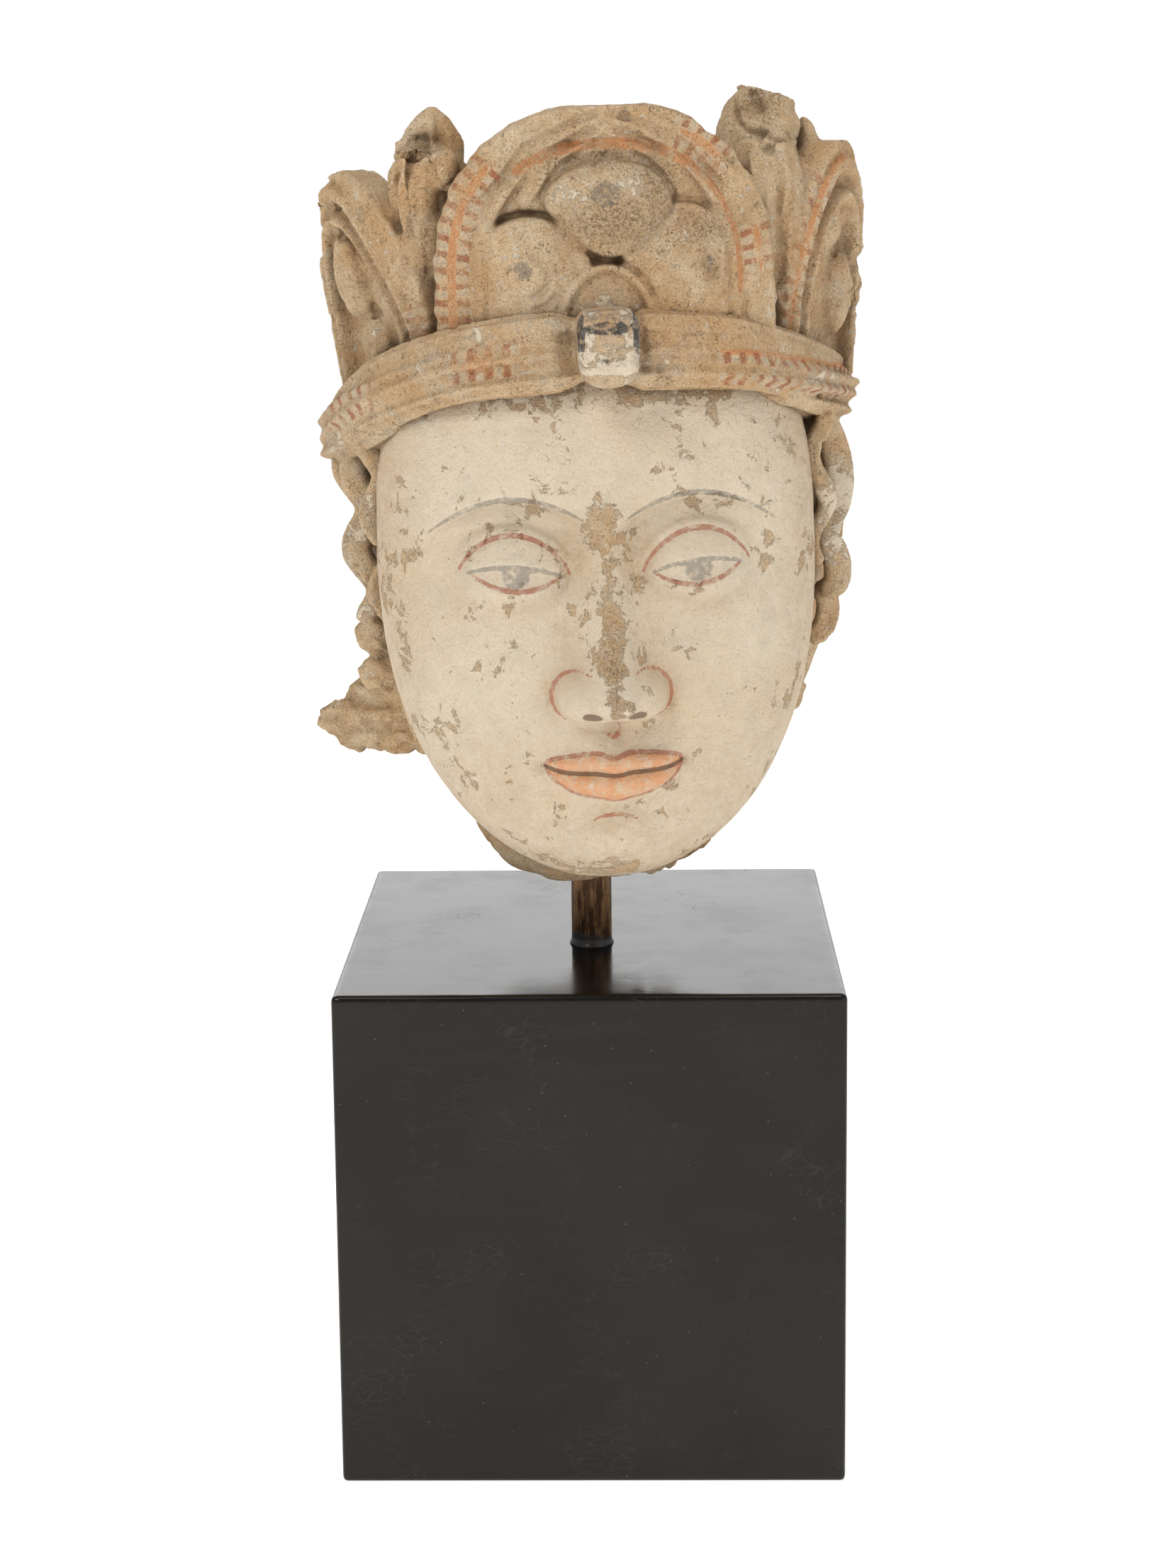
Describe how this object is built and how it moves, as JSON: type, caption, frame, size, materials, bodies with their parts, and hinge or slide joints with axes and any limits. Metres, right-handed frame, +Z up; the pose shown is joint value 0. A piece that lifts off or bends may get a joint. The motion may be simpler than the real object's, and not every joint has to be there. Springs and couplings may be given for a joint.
{
  "type": "bodhisattva head on stand",
  "caption": "Crowned bodhisattva head in painted stucco, broken at the neck, on a round rod that rises from a black lacquered wooden cube.",
  "frame": {"origin": "centre of the block's underside, on the surface that the stand rests on", "axes": "+Z up, -Y to the front where the face looks, +X to the viewer's right"},
  "size_m": [0.1688, 0.1845, 0.4162],
  "materials": {
    "painted_stucco": "matt sandy stucco with worn cream slip and traces of orange, red and grey paint",
    "browned_brass": "dark brown patina, satin",
    "black_lacquer": "black lacquer, glossy on top, fine crackle"
  },
  "bodies": {
    "root": {"head": "painted_stucco", "rod": "browned_brass", "block": "black_lacquer"}
  },
  "joints": []
}
